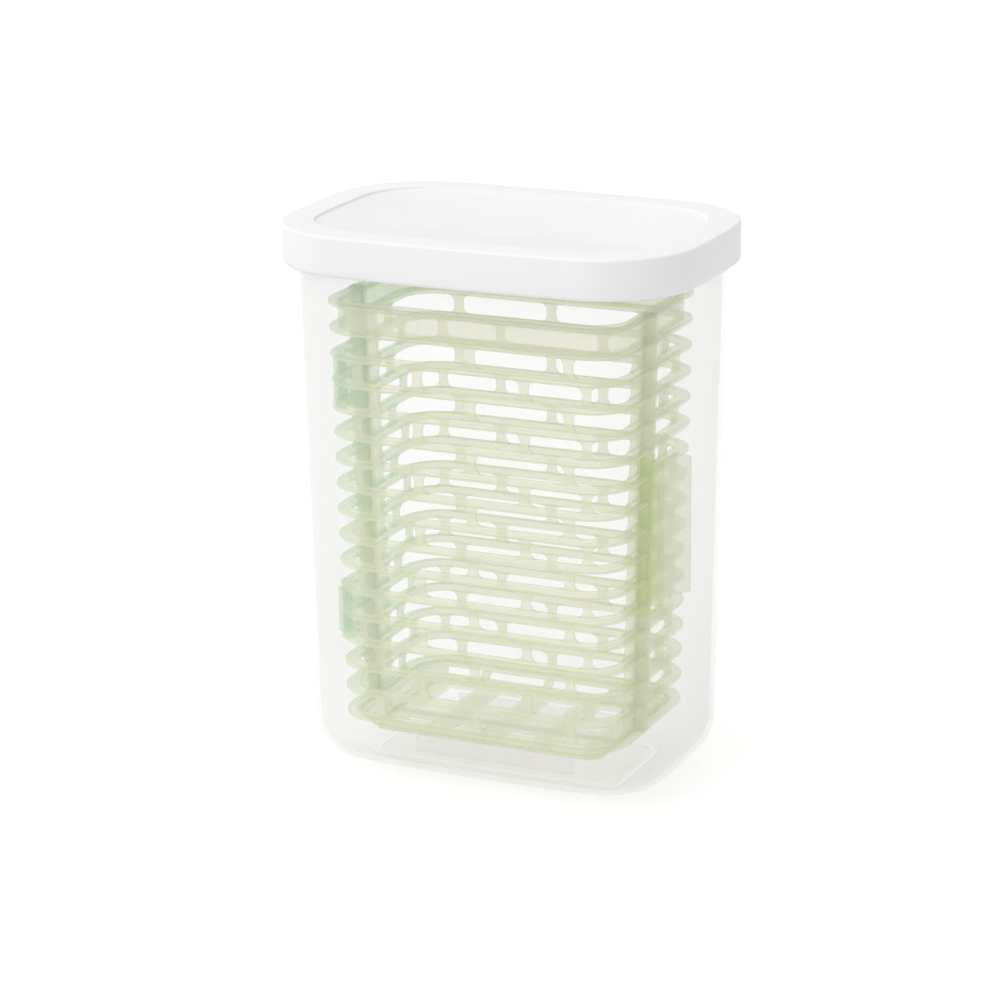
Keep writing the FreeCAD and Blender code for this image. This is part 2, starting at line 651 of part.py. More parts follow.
container = make_container()
lid = make_lid()
door, back = make_halves(make_lattice())
upper_pin, upper_clip = make_hinge("upper", "upper_hinge")
lower_pin, lower_clip = make_hinge("lower", "lower_hinge")
latch = make_latch()
doc.recompute()

NODES = [container, lid, back, door, upper_pin, lower_pin, upper_clip, lower_clip, latch]

faults = []
for item in doc.Objects:
    if "Invalid" in item.State or "Error" in item.State:
        faults.append("%s is %s" % (item.Name, item.State))
for node in NODES:
    shape = node.Shape
    if shape.isNull() or not shape.isValid():
        faults.append("%s has no valid shape" % node.Label)
        continue
    shape.exportStep("parts/%s.step" % node.Label)
    print(node.Label, "solids", len(shape.Solids), "volume", round(shape.Volume / 1000, 2), "cm3")
if faults:
    raise RuntimeError("; ".join(faults))
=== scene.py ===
import math

import bpy
import numpy as np
from mathutils import Matrix, Vector


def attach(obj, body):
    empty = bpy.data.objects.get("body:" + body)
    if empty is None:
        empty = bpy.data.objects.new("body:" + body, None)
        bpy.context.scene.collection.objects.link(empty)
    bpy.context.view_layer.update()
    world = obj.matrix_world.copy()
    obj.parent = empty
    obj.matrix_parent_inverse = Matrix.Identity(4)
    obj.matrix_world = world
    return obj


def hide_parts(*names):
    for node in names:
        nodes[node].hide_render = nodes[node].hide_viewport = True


# Looks of the herb keeper: milky container, white lid and green lattice basket, in metres.

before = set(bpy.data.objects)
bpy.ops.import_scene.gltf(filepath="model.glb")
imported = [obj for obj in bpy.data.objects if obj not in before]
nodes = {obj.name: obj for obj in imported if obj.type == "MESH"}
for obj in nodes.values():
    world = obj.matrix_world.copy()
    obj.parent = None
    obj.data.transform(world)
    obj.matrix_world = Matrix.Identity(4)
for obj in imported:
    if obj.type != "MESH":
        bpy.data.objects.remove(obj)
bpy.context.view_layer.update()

MM = 0.001

# Container and lid, as plan outlines with bowed sides
MOUTH = (134.8 * MM, 88.6 * MM, 28.0 * MM)
LID = (142.0 * MM, 96.0 * MM, 31.3 * MM)
BOW_LONG, BOW_SHORT = 750.0 * MM, 450.0 * MM
RIM_HIGH = 179.8 * MM
SIDE_DRAW = 3.8 * MM
WALL = 1.8 * MM
FOOT_TALL = 1.2 * MM
BASE_ROUND = 13.0 * MM
FOOT_INSET, FOOT_RING = 18.0 * MM, 3.0 * MM
BEAD_OUT, BEAD_TALL = 0.9 * MM, 3.0 * MM
RIB_LONG, RIB_WIDE, RIB_PLACE = 56.0 * MM, 2.0 * MM, 17.0 * MM

# Basket, as rounded outlines that grow from heel to rim
BASKET_LOW = 11.4 * MM
HEEL_TALL = 6.0 * MM
HEEL_SLOPE = 6.2 * MM
PITCH = 8.7 * MM
ROWS = 15
FLANGE_HALF = 0.55 * MM
HEEL = BASKET_LOW + HEEL_TALL
RIM = HEEL + (ROWS + 1) * PITCH + FLANGE_HALF
HEEL_SIZE = (100.6 * MM, 70.4 * MM)
RIM_SIZE = (107.4 * MM, 72.4 * MM)
FLANGE_CORNER = 15.0 * MM
FLANGE_OUT = 3.1 * MM
WALL_ROUND = FLANGE_CORNER - FLANGE_OUT
WALL_INSET = MM * np.array([4.6, 3.1, 3.1, 4.6])
WINDOW_HALF = 3.05 * MM
PILLAR_HALF = 1.5 * MM
WINDOW_ROUND = 2.3 * MM
BRICK = 18.6 * MM
EVEN_PILLARS = (-33.8 * MM, 0.0, 33.8 * MM)
ODD_PILLARS = (-40.0 * MM, -BRICK, BRICK, 40.0 * MM)
HEEL_PILLARS = (-23.5 * MM, 0.0, 23.5 * MM)
HEEL_SLOT = (13.4 * MM, 15.5 * MM)
HEEL_SLOT_END = 38.5 * MM
FLOOR_THICK = 1.4 * MM
DRAIN_HALF = 4.8 * MM
DRAINS_DOOR = (-14.4 * MM, -4.5 * MM)
DRAINS_BACK = (4.5 * MM, 27.0 * MM)
SPLIT, SPLIT_GAP = -8.0 * MM, 0.1 * MM
POST_THICK, POST_WIDE = 2.1 * MM, 9.0 * MM
CATCH = (6.5 * MM, 1.8 * MM, 63.2 * MM, 106.2 * MM)
CATCH_REACH, CATCH_ROOT = 53.5 * MM, 3.8 * MM
DOOR, BACK = -1, 1


# Camera, lamps and stage

EYE = Vector((0.4448, -0.9852, 0.4148))
LOOK_AT = Vector((-0.0047, 0.0, 0.0873))
ROLL = math.radians(-0.56)
LENS = 124.1

# Strengths of the surrounding, the lamp and the floor's glow, and where the lamp stands
WORLD_LEVEL = 0.70
LAMP_LEVEL = 1.24
LAMP_FROM = Vector((-0.448, -0.471, 0.759))
LAMP_SPREAD = math.radians(70)
FLOOR_GLOW = 0.60
FLOOR_GLOW_UNSEEN = FLOOR_GLOW - 0.18
FLOOR_GREY = (0.42, 0.42, 0.42, 1)
FLOOR_HALF = 4.0


def place_camera():
    """The camera at the photograph's viewing angle."""
    data = bpy.data.cameras.new("camera")
    data.lens = LENS
    data.sensor_width = 36.0
    camera = bpy.data.objects.new("camera", data)
    turn = (LOOK_AT - EYE).to_track_quat("-Z", "Y").to_matrix().to_4x4()
    camera.matrix_world = Matrix.Translation(EYE) @ turn @ Matrix.Rotation(ROLL, 4, "Z")
    bpy.context.scene.collection.objects.link(camera)
    bpy.context.scene.camera = camera


def place_lights():
    """An even pale surrounding, and one very soft lamp from the upper left."""
    world = bpy.data.worlds.new("studio")
    bpy.context.scene.world = world
    world.use_nodes = True
    tree = world.node_tree
    back = tree.nodes["Background"]
    tree.links.new(seen_level(tree, WORLD_LEVEL, 1.0), back.inputs["Strength"])
    back.inputs["Color"].default_value = (1, 1, 1, 1)
    lamp = bpy.data.lights.new("soft_lamp", "SUN")
    lamp.energy = LAMP_LEVEL
    lamp.angle = LAMP_SPREAD
    holder = bpy.data.objects.new("soft_lamp", lamp)
    holder.rotation_euler = LAMP_FROM.to_track_quat("Z", "Y").to_euler()
    bpy.context.scene.collection.objects.link(holder)


def add_values(tree, one, other):
    """The sum of two sockets, kept between 0 and 1."""
    node = tree.nodes.new("ShaderNodeMath")
    node.operation = "ADD"
    node.use_clamp = True
    tree.links.new(one, node.inputs[0])
    tree.links.new(other, node.inputs[1])
    return node.outputs[0]


def seen_level(tree, unseen, seen):
    """One strength for camera, glossy and transmission rays, and another for all the rest."""
    rays = tree.nodes.new("ShaderNodeLightPath")
    share = add_values(tree, rays.outputs["Is Camera Ray"], rays.outputs["Is Glossy Ray"])
    share = add_values(tree, share, rays.outputs["Is Transmission Ray"])
    level = tree.nodes.new("ShaderNodeMapRange")
    level.inputs["To Min"].default_value = unseen
    level.inputs["To Max"].default_value = seen
    tree.links.new(share, level.inputs["Value"])
    return level.outputs["Result"]


def place_floor():
    """A large pale floor that shows white to the camera and keeps the keeper's soft shadow."""
    mesh = bpy.data.meshes.new("floor")
    corners = [(FLOOR_HALF * x, FLOOR_HALF * y, 0) for x, y in ((-1, -1), (1, -1), (1, 1), (-1, 1))]
    mesh.from_pydata(corners, [], [(0, 1, 2, 3)])
    floor = bpy.data.objects.new("floor", mesh)
    bpy.context.scene.collection.objects.link(floor)
    material, tree, shader = new_material("floor_white")
    shader.inputs["Base Color"].default_value = FLOOR_GREY
    shader.inputs["Roughness"].default_value = 0.22
    shader.inputs["Specular IOR Level"].default_value = 0.35
    glow = tree.nodes.new("ShaderNodeEmission")
    tree.links.new(seen_level(tree, FLOOR_GLOW_UNSEEN, FLOOR_GLOW), glow.inputs["Strength"])
    both = tree.nodes.new("ShaderNodeAddShader")
    tree.links.new(shader.outputs[0], both.inputs[0])
    tree.links.new(glow.outputs[0], both.inputs[1])
    tree.links.new(both.outputs[0], tree.nodes["Material Output"].inputs["Surface"])
    mesh.materials.append(material)


# Materials

# Lid's mottle and milk's cloud, from dark to light, and the milk's veil face on and at the edge
LID_MOTTLE = ((0.885, 0.885, 0.90, 1), (0.905, 0.905, 0.915, 1))
MILK_CLOUD = ((0.945, 0.92, 0.945, 1), (0.965, 0.94, 0.965, 1))
MILK_VEIL, MILK_EDGE = 0.13, 0.34

# Green plastic: its milky share, and body and coat colours by the hinge, elsewhere and in the seam,
# where a deeper green is painted shade
GREEN_BODY = 0.32
BODY_HINGE, BODY_MAIN, BODY_SEAM_SHADE = (0.78, 0.92, 0.74), (0.97, 0.97, 0.76), (0.86, 0.93, 0.50)
COAT_HINGE, COAT_MAIN, COAT_SEAM_SHADE = (0.92, 0.97, 0.90), (0.985, 0.99, 0.93), (0.97, 0.99, 0.86)
COAT_EDGE = (0.86, 0.93, 0.76)

# X over which the hinge side's colour gives way to the main one, and how far the seam's painted shade
# reaches from the split and, up and down, from the latch's middle
HINGE_BAND = (-52 * MM, -42 * MM)
SEAM_SHADE_HALF = 2.6 * MM
LATCH_MIDDLE, LATCH_HALF = 84 * MM, 27 * MM


def new_material(name):
    """A material with its Principled shader: (material, node tree, shader)."""
    material = bpy.data.materials.new(name)
    material.use_nodes = True
    tree = material.node_tree
    return material, tree, tree.nodes["Principled BSDF"]


def fine_bump(tree, shader, scale, distance, strength, detail=3.0):
    """A moulded skin: fine noise that lifts the surface a little. Gives the Object coordinates' node."""
    place = tree.nodes.new("ShaderNodeTexCoord")
    grain = tree.nodes.new("ShaderNodeTexNoise")
    grain.inputs["Scale"].default_value = scale
    grain.inputs["Detail"].default_value = detail
    bump = tree.nodes.new("ShaderNodeBump")
    bump.inputs["Distance"].default_value = distance
    bump.inputs["Strength"].default_value = strength
    tree.links.new(place.outputs["Object"], grain.inputs["Vector"])
    tree.links.new(grain.outputs["Fac"], bump.inputs["Height"])
    tree.links.new(bump.outputs["Normal"], shader.inputs["Normal"])
    return place


def ramp(tree, source, low, high, dark, light):
    """A colour that runs from dark to light as a value runs from low to high."""
    node = tree.nodes.new("ShaderNodeValToRGB")
    node.color_ramp.elements[0].position = low
    node.color_ramp.elements[0].color = dark
    node.color_ramp.elements[1].position = high
    node.color_ramp.elements[1].color = light
    tree.links.new(source, node.inputs["Fac"])
    return node.outputs["Color"]


def lid_plastic():
    """White moulded plastic with a satin skin and the faintest mottle."""
    material, tree, shader = new_material("lid_plastic")
    place = fine_bump(tree, shader, 900.0, 0.00003, 0.35)
    mottle = tree.nodes.new("ShaderNodeTexNoise")
    mottle.inputs["Scale"].default_value = 35.0
    tree.links.new(place.outputs["Object"], mottle.inputs["Vector"])
    colour = ramp(tree, mottle.outputs["Fac"], 0.3, 0.7, *LID_MOTTLE)
    tree.links.new(colour, shader.inputs["Base Color"])
    shader.inputs["Roughness"].default_value = 0.42
    shader.inputs["IOR"].default_value = 1.46
    return material


def milky_plastic():
    """Clear plastic with a milky haze: a thin white veil over what stands behind it, glossy outside."""
    material, tree, shader = new_material("milky_plastic")
    place = fine_bump(tree, shader, 60.0, 0.0002, 0.04, 1.0)
    cloud = tree.nodes.new("ShaderNodeTexNoise")
    cloud.inputs["Scale"].default_value = 22.0
    cloud.inputs["Detail"].default_value = 4.0
    tree.links.new(place.outputs["Object"], cloud.inputs["Vector"])
    colour = ramp(tree, cloud.outputs["Fac"], 0.3, 0.7, *MILK_CLOUD)
    tree.links.new(colour, shader.inputs["Base Color"])
    shader.inputs["Roughness"].default_value = 0.18
    shader.inputs["IOR"].default_value = 1.45
    edge = tree.nodes.new("ShaderNodeLayerWeight")
    edge.inputs["Blend"].default_value = 0.25
    veil = tree.nodes.new("ShaderNodeMapRange")
    veil.inputs["To Min"].default_value = MILK_VEIL
    veil.inputs["To Max"].default_value = MILK_EDGE
    tree.links.new(edge.outputs["Facing"], veil.inputs["Value"])
    tree.links.new(veil.outputs["Result"], shader.inputs["Alpha"])
    return material


def green_plastic():
    """Pale green clear plastic with a little milk.

    It is bluer at the hinge side, and in the seam beside the latch a deeper green is painted in as
    shade.
    A share of the surface is a tinted see-through coat and the rest is milky body; towards a grazing
    view the coat's tint deepens, as it does where more plastic is looked through.
    """
    material, tree, shader = new_material("green_plastic")
    place = fine_bump(tree, shader, 140.0, 0.0002, 0.08, 2.0)
    parts = tree.nodes.new("ShaderNodeSeparateXYZ")
    tree.links.new(place.outputs["Object"], parts.inputs[0])
    hinge = band_share(tree, parts.outputs["X"], *HINGE_BAND)
    near_seam = within(tree, parts.outputs["Y"], SPLIT, SEAM_SHADE_HALF)
    by_latch = within(tree, parts.outputs["Z"], LATCH_MIDDLE, LATCH_HALF)
    # painted shade: the seam between the halves beside the latch gets a deeper, darker green
    seam_shade = multiply(tree, multiply(tree, near_seam, by_latch), hinge)
    body = blend_colour(tree, hinge, BODY_HINGE, BODY_MAIN)
    body = blend_colour(tree, seam_shade, body, BODY_SEAM_SHADE)
    tree.links.new(body, shader.inputs["Base Color"])
    shader.inputs["Roughness"].default_value = 0.16
    shader.inputs["IOR"].default_value = 1.46
    clear = tree.nodes.new("ShaderNodeBsdfTransparent")
    tint = blend_colour(tree, hinge, COAT_HINGE, COAT_MAIN)
    tint = blend_colour(tree, seam_shade, tint, COAT_SEAM_SHADE)
    edge = tree.nodes.new("ShaderNodeLayerWeight")
    edge.inputs["Blend"].default_value = 0.22
    tint = blend_colour(tree, edge.outputs["Facing"], tint, COAT_EDGE)
    tree.links.new(tint, clear.inputs["Color"])
    both = tree.nodes.new("ShaderNodeMixShader")
    both.inputs["Fac"].default_value = GREEN_BODY
    tree.links.new(clear.outputs[0], both.inputs[1])
    tree.links.new(shader.outputs[0], both.inputs[2])
    tree.links.new(both.outputs[0], tree.nodes["Material Output"].inputs["Surface"])
    return material


def band_share(tree, value, low, high):
    """A share from 0 to 1 as a value runs from low to high."""
    node = tree.nodes.new("ShaderNodeMapRange")
    node.inputs["From Min"].default_value = low
    node.inputs["From Max"].default_value = high
    tree.links.new(value, node.inputs["Value"])
    return node.outputs["Result"]


def within(tree, value, middle, reach):
    """1 where a value is no further than the reach from a middle, and 0 elsewhere."""
    node = tree.nodes.new("ShaderNodeMath")
    node.operation = "COMPARE"
    node.inputs[1].default_value = middle
    node.inputs[2].default_value = reach
    tree.links.new(value, node.inputs[0])
    return node.outputs[0]


def multiply(tree, one, other):
    """The product of two sockets."""
    node = tree.nodes.new("ShaderNodeMath")
    node.operation = "MULTIPLY"
    tree.links.new(one, node.inputs[0])
    tree.links.new(other, node.inputs[1])
    return node.outputs[0]


def blend_colour(tree, share, low, high):
    """A colour between two colours or sockets, by a share from 0 to 1."""
    node = tree.nodes.new("ShaderNodeMix")
    node.data_type = "RGBA"
    tree.links.new(share, node.inputs[0])
    for colour, place in ((low, node.inputs[6]), (high, node.inputs[7])):
        if isinstance(colour, tuple):
            place.default_value = (*colour, 1)
        else:
            tree.links.new(colour, place)
    return node.outputs[2]


# Mesh making

def mesh_object(name, points, faces, material, soft_angle=35.0):
    """An object at the origin from an array of points and lists of faces, shaded smooth."""
    mesh = bpy.data.meshes.new(name)
    mesh.from_pydata(np.asarray(points).tolist(), [], faces)
    mesh.materials.append(material)
    mesh.validate()
    mesh.polygons.foreach_set("use_smooth", np.ones(len(mesh.polygons), dtype=bool))
    mesh.set_sharp_from_angle(angle=math.radians(soft_angle))
    item = bpy.data.objects.new(name, mesh)
    bpy.context.scene.collection.objects.link(item)
    return item


def grid_faces(rows, columns):
    """Quads between the closed rows of a grid of points stored row by row, as index lists."""
    row = np.arange(rows - 1)[:, None]
    column = np.arange(columns)[None, :]
    next_row, next_column = row + 1, (column + 1) % columns
    corners = [row * columns + column, next_row * columns + column,
               next_row * columns + next_column, row * columns + next_column]
    return np.stack([np.broadcast_to(c, corners[0].shape) for c in corners], -1).reshape(-1, 4).tolist()


class Pieces:
    """Collects closed grids of points into one mesh."""

    def __init__(self):
        self.points = []
        self.faces = []
        self.count = 0

    def add(self, points, faces):
        """Append points with faces that count from the piece's own first point."""
        self.points.append(points)
        self.faces.extend([[index + self.count for index in face] for face in faces])
        self.count += len(points)

    def tube(self, grid, flip=False):
        """Append a grid of closed loops (loops, points, 3) as a tube with both ends capped."""
        loops, around = grid.shape[:2]
        faces = grid_faces(loops, around)
        faces.append(list(range(around))[::-1])
        faces.append(list(range((loops - 1) * around, loops * around)))
        if flip:
            faces = [face[::-1] for face in faces]
        self.add(grid.reshape(-1, 3), faces)


def bowed_outline(width, depth, corner):
    """Points and outward normals of a rounded rectangle with bowed sides, as eight tangent arcs.

    The corner circle lies inside the long and the short side's circle and touches both, so its
    centre is BOW_LONG - corner from the one centre and BOW_SHORT - corner from the other.
    """
    south, east = depth / 2 - BOW_LONG, width / 2 - BOW_SHORT
    reach_long, reach_short = BOW_LONG - corner, BOW_SHORT - corner
    gap = math.hypot(east, south)
    along = (reach_long ** 2 - reach_short ** 2 + gap ** 2) / (2 * gap)
    side = math.sqrt(reach_long ** 2 - along ** 2)
    unit = np.array([east, -south]) / gap
    middle = np.array([0.0, south]) + along * unit + side * np.array([unit[1], -unit[0]])
    if middle[0] < 0 or middle[1] < 0:
        middle = np.array([0.0, south]) + along * unit - side * np.array([unit[1], -unit[0]])
    lean = math.atan2(middle[1] - south, middle[0])
    rise = math.atan2(middle[1], middle[0] - east)
    turns = [((0.0, south), BOW_LONG, math.pi - lean, lean, 15),
             (middle, corner, lean, rise, 21),
             ((east, 0.0), BOW_SHORT, rise, -rise, 9),
             (middle * (1, -1), corner, -rise, -lean, 21),
             ((0.0, -south), BOW_LONG, -lean, lean - math.pi, 15),
             (middle * (-1, -1), corner, lean - math.pi, rise - math.pi, 21),
             ((-east, 0.0), BOW_SHORT, rise - math.pi, -math.pi - rise, 9),
             (middle * (-1, 1), corner, -math.pi - rise, -math.pi - lean, 21)]
    points, normals = [], []
    for centre, radius, start, stop, count in turns:
        angle = np.linspace(start, stop, count)[:-1]
        way = np.stack([np.cos(angle), np.sin(angle)], -1)
        points.append(np.asarray(centre) + radius * way)
        normals.append(way)
    return np.concatenate(points), np.concatenate(normals)


def turned_shell(name, outline, profile, material, extra=None):
    """A closed shell: each profile point (inset, height) makes a ring of the outline moved inward.

    A ring's point is the outline's point minus inset times its normal, at that height. The first
    and the last ring are closed by a fan to the axis.
    """
    points, normals = bowed_outline(*outline)
    inset, height = np.asarray(profile).T
    flat = points[None] - inset[:, None, None] * normals[None]
    rings = np.concatenate([flat, np.broadcast_to(height[:, None, None], flat.shape[:2] + (1,))], -1)
    loops, around = rings.shape[:2]
    faces = grid_faces(loops, around)
    first, last = loops * around, loops * around + 1
    index = np.arange(around)
    after = (index + 1) % around
    faces += np.stack([np.full(around, first), index, after], -1).tolist()
    top = (loops - 1) * around
    faces += np.stack([np.full(around, last), after + top, index + top], -1).tolist()
    poles = np.array([[0, 0, height[0]], [0, 0, height[-1]]])
    pieces = Pieces()
    pieces.add(np.concatenate([rings.reshape(-1, 3), poles]), faces)
    if extra:
        extra(pieces)
    return mesh_object(name, np.concatenate(pieces.points), pieces.faces, material)


# Container and lid

def draw_at(height):
    """How far the container's side has drawn in at a height."""
    return SIDE_DRAW * (RIM_HIGH - height) / RIM_HIGH


def container_profile():
    """The wall's section from the middle of the underside, out and up over the rim, and in again."""
    foot_out = SIDE_DRAW + FOOT_INSET
    foot_in = foot_out + FOOT_RING
    soft = 0.3 * MM
    turn = FOOT_TALL + BASE_ROUND
    centre = draw_at(turn) + BASE_ROUND
    inner_round = BASE_ROUND - WALL
    parts = [[(foot_in, FOOT_TALL), (foot_in, soft), (foot_in - soft, 0), (foot_out + soft, 0),
              (foot_out, soft), (foot_out, FOOT_TALL), (centre + 1.0 * MM, FOOT_TALL)]]
    parts.append([(centre - BASE_ROUND * math.sin(a), turn - BASE_ROUND * math.cos(a))
                  for a in np.linspace(0, math.pi / 2, 13)])
    neck = RIM_HIGH - BEAD_TALL
    parts.append([(draw_at(z), z) for z in np.linspace(turn, neck, 8)[1:]])
    parts.append([(-BEAD_OUT + 0.2 * MM, neck), (-BEAD_OUT, neck + 0.3 * MM),
                  (-BEAD_OUT, RIM_HIGH - 0.6 * MM), (-BEAD_OUT + 0.6 * MM, RIM_HIGH),
                  (WALL - 0.4 * MM, RIM_HIGH), (WALL, RIM_HIGH - 0.4 * MM)])
    parts.append([(WALL + draw_at(z), z) for z in np.linspace(neck, turn, 8)])
    parts.append([(centre - inner_round * math.sin(a), turn - inner_round * math.cos(a))
                  for a in np.linspace(math.pi / 2, 0, 13)[1:]])
    return np.concatenate([np.asarray(part, dtype=float) for part in parts])


def lid_profile():
    """The lid's section from the middle of its top, over the edge, down the skirt and up inside."""
    top = RIM_HIGH + 2.2 * MM
    recess_inset, recess_deep = 10.8 * MM, 0.8 * MM
    edge, lip = 0.9 * MM, 1.6 * MM
    skirt_low = top - 13.3 * MM
    under = RIM_HIGH + 0.2 * MM
    plug_out, plug_in, plug_low = 6.1 * MM, 7.7 * MM, under - 7.0 * MM
    parts = [[(recess_inset + 0.5 * MM, top - recess_deep)],
             [(recess_inset + 0.35 * MM, top - recess_deep + 0.05 * MM),
              (recess_inset, top - recess_deep + 0.3 * MM),
              (recess_inset, top - 0.25 * MM), (recess_inset - 0.25 * MM, top)],
             [(edge - edge * math.sin(a), top - edge + edge * math.cos(a))
              for a in np.linspace(0, math.pi / 2, 7)],
             [(0.0, skirt_low + 5.0 * MM), (0.0, skirt_low + lip)],
             [(lip - lip * math.cos(a), skirt_low + lip - lip * math.sin(a))
              for a in np.linspace(0.3, 1.35, 6)],
             [(2.2 * MM, skirt_low), (2.4 * MM, skirt_low + 0.2 * MM), (2.4 * MM, under)],
             [(plug_out, under), (plug_out, plug_low + 0.3 * MM), (plug_out + 0.3 * MM, plug_low),
              (plug_in - 0.3 * MM, plug_low), (plug_in, plug_low + 0.3 * MM), (plug_in, under)]]
    return np.concatenate([np.asarray(part, dtype=float) for part in parts])


def standing_ribs(pieces):
    """Two low ribs on the container's floor, with a rounded top, that carry the basket."""
    wide = RIB_WIDE / 2
    low, high = FOOT_TALL + WALL / 2, BASKET_LOW - 0.2 * MM
    section = np.array([(-wide, low), (wide, low), (wide, high - 0.5 * MM), (0.5 * wide, high),
                        (-0.5 * wide, high), (-wide, high - 0.5 * MM)])
    for middle in (-RIB_PLACE, RIB_PLACE):
        ends = np.array([-RIB_LONG / 2, RIB_LONG / 2])
        grid = np.empty((2, len(section), 3))
        grid[..., 0] = ends[:, None]
        grid[..., 1] = middle + section[None, :, 0]
        grid[..., 2] = section[None, :, 1]
        pieces.tube(grid)


# Basket

def outline_size(height):
    """Half width and half depth of the corner arcs' centres at a height."""
    share = (height - HEEL) / (RIM - HEEL)
    width = HEEL_SIZE[0] + (RIM_SIZE[0] - HEEL_SIZE[0]) * share
    depth = HEEL_SIZE[1] + (RIM_SIZE[1] - HEEL_SIZE[1]) * share
    return width / 2 - FLANGE_CORNER, depth / 2 - FLANGE_CORNER


def seam_y(half):
    """Y of a half's own seam face."""
    return SPLIT + half * SPLIT_GAP / 2


def half_length(half, height):
    """Length of the wall from the middle of its front to the seam."""
    across, along = outline_size(height)
    return across + WALL_ROUND * math.pi / 2 + along - half * seam_y(half)


def wall_point(half, run, inset, height):
    """A point of the basket's wall: run is measured along the wall from the middle of its front.

    Up to the corner the point runs along X, then round the corner's arc, then along the side
    towards the seam. The inset is measured inward from the flange's edge along the normal.
    """
    run, inset, height = np.broadcast_arrays(run, inset, height)
    across, along = outline_size(height)
    side = np.sign(run)
    length = np.abs(run)
    turn = np.clip((length - across) / WALL_ROUND, 0, math.pi / 2)
    past = np.maximum(length - across - WALL_ROUND * math.pi / 2, 0)
    normal_x, normal_y = np.sin(turn), np.cos(turn)
    reach = FLANGE_CORNER - inset
    x = np.minimum(length, across) + reach * normal_x
    y = along + reach * normal_y - past
    return np.stack([side * x, half * y, height], -1)


def run_of(x, height):
    """The run at which the wall reaches a distance along X."""
    across, _ = outline_size(height)
    bend = np.arcsin(np.clip((abs(x) - across) / WALL_ROUND, 0, 1))
    return math.copysign(min(abs(x), across) + WALL_ROUND * bend, x)


def sweep(pieces, half, runs, inset, height):
    """Carry a closed section (inset, height) along the wall through an array of runs."""
    grid = wall_point(half, runs[:, None], np.asarray(inset)[None], np.asarray(height)[None])
    pieces.tube(grid, flip=half == BACK)


def full_run(half, height):
    """Runs from seam to seam, close together on the corners."""
    across, _ = outline_size(height)
    bend = across + np.linspace(0, 1, 13) * WALL_ROUND * math.pi / 2
    right = np.concatenate([np.linspace(0, across, 5)[:-1], bend, [half_length(half, height)]])
    return np.concatenate([-right[::-1], right[1:]])


# A flange and the band of wall behind it: inset from the flange's edge, and height over its middle
RING_SECTION = MM * np.array([
    (4.6, -1.1), (4.4, -1.3), (3.3, -1.3), (3.1, -1.1), (3.1, -0.8), (2.85, -0.55), (0.35, -0.55),
    (0.1, -0.42), (0.0, -0.15), (0.0, 0.15), (0.1, 0.42), (0.35, 0.55), (2.85, 0.55), (3.1, 0.8),
    (3.1, 1.1), (3.3, 1.3), (4.4, 1.3), (4.6, 1.1)])


def ring(pieces, half, height):
    """A flange with the band of wall behind it, from seam to seam."""
    sweep(pieces, half, full_run(half, height), RING_SECTION[:, 0], height + RING_SECTION[:, 1])


# An upright: share of its width, and inset in mm from the flange's edge
PILLAR_SECTION = np.array([
    (0.0, 3.3), (0.02, 3.12), (0.08, 3.1), (0.5, 3.1), (0.92, 3.1), (0.98, 3.12), (1.0, 3.3),
    (1.0, 4.4), (0.98, 4.58), (0.92, 4.6), (0.5, 4.6), (0.08, 4.6), (0.02, 4.58), (0.0, 4.4)])


def flare(height_from_edge):
    """How far a window's rounded corner reaches in at a distance from the window's top or bottom."""
    inside = np.clip(WINDOW_ROUND - height_from_edge, 0, WINDOW_ROUND)
    return WINDOW_ROUND - np.sqrt(WINDOW_ROUND ** 2 - inside ** 2)


def pillar(pieces, half, middle, left, right, flare_left=1, flare_right=1):
    """Wall between two windows of a row: its sides flare out to the row's top and bottom.

    At each level the section runs from left minus the flare to right plus the flare.
    """
    step = np.linspace(-1, 1, 15)
    rise = np.sin(step * math.pi / 2)
    spread = flare(WINDOW_HALF * (1 - np.abs(rise)))
    height = middle + rise * (WINDOW_HALF + 0.1 * MM)
    start = left - flare_left * spread
    stop = right + flare_right * spread
    run = start[:, None] + (stop - start)[:, None] * PILLAR_SECTION[None, :, 0]
    grid = wall_point(half, run, PILLAR_SECTION[None, :, 1] * MM, height[:, None])
    pieces.tube(grid, flip=half == DOOR)


def window_row(pieces, half, row):
    """One row of windows between two rings: pillars, side bars and closed wall at the seams."""
    middle = HEEL + (ROWS - row) * PITCH - PITCH / 2
    odd = row % 2 == 1
    for x in ODD_PILLARS if odd else EVEN_PILLARS:
        run = run_of(x, middle)
        pillar(pieces, half, middle, run - PILLAR_HALF, run + PILLAR_HALF)
    end = half_length(half, middle)
    closed = POST_WIDE - SPLIT_GAP / 2
    pillar(pieces, half, middle, end - closed, end, 1, 0)
    pillar(pieces, half, middle, -end, closed - end, 0, 1)
    if half == BACK:
        across, along = outline_size(middle)
        side_y = SPLIT + POST_WIDE + (BRICK if odd else BRICK / 2)
        run = across + WALL_ROUND * math.pi / 2 + along - side_y
        for sign in (-1, 1):
            pillar(pieces, half, middle, sign * run - PILLAR_HALF, sign * run + PILLAR_HALF)


def rim_band(pieces, half):
    """The closed band of wall between the rim's flange and the next one."""
    low, high = RIM - FLANGE_HALF - PITCH, RIM - FLANGE_HALF
    sweep(pieces, half, full_run(half, low), WALL_INSET, np.array([low, low, high, high]))


def seam_posts(pieces, half):
    """A post at each seam, as deep as the flanges, from heel to rim."""
    levels = np.linspace(HEEL, RIM, 5)
    soft = 0.25 * MM
    inset = np.array([soft, 0, 0, soft, 4.6 * MM, 4.6 * MM])
    for sign in (-1, 1):
        end = half_length(half, levels)
        inner = end - POST_THICK
        run = np.stack([end, end - soft, inner + soft, inner, inner, end], -1)
        grid = wall_point(half, sign * run, inset[None], levels[:, None])
        pieces.tube(grid, flip=(sign * half) < 0)


def heel_inset(depth_in, height):
    """An inset on the sloped heel: the wall's own inset plus the slope's at that height."""
    return depth_in + HEEL_SLOPE * (HEEL - height) / HEEL_TALL


